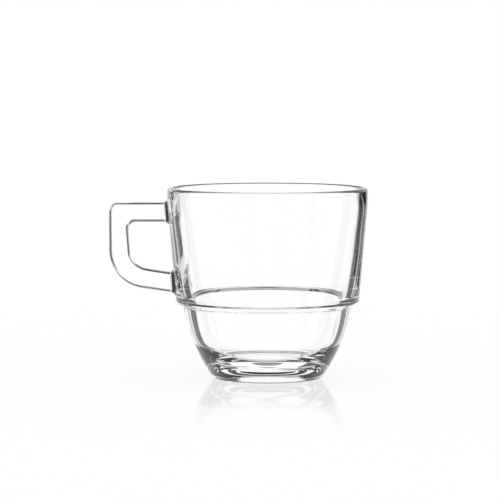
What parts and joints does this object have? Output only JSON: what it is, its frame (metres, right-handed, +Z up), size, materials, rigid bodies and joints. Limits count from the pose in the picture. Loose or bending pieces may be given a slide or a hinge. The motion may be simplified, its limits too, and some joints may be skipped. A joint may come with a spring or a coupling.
{
  "type": "coffee glass",
  "caption": "Clear pressed-glass coffee cup with a leaning wall, a stacking step, a rounded lower bowl on a thick foot, and a squared finger handle fused to its side.",
  "frame": {"origin": "the middle of the glass's outline, handle included, on the surface that it stands on; the bowl's axis is at X = +11.95 mm", "axes": "+Z up along the bowl's axis, -X towards the handle, +Y away from the viewer who sees the handle on the left"},
  "size_m": [0.1058, 0.082, 0.078],
  "materials": {
    "clear_glass": "colourless pressed soda-lime glass, fire-polished smooth"
  },
  "bodies": {
    "root": {"bowl": "clear_glass", "handle": "clear_glass"}
  },
  "joints": []
}
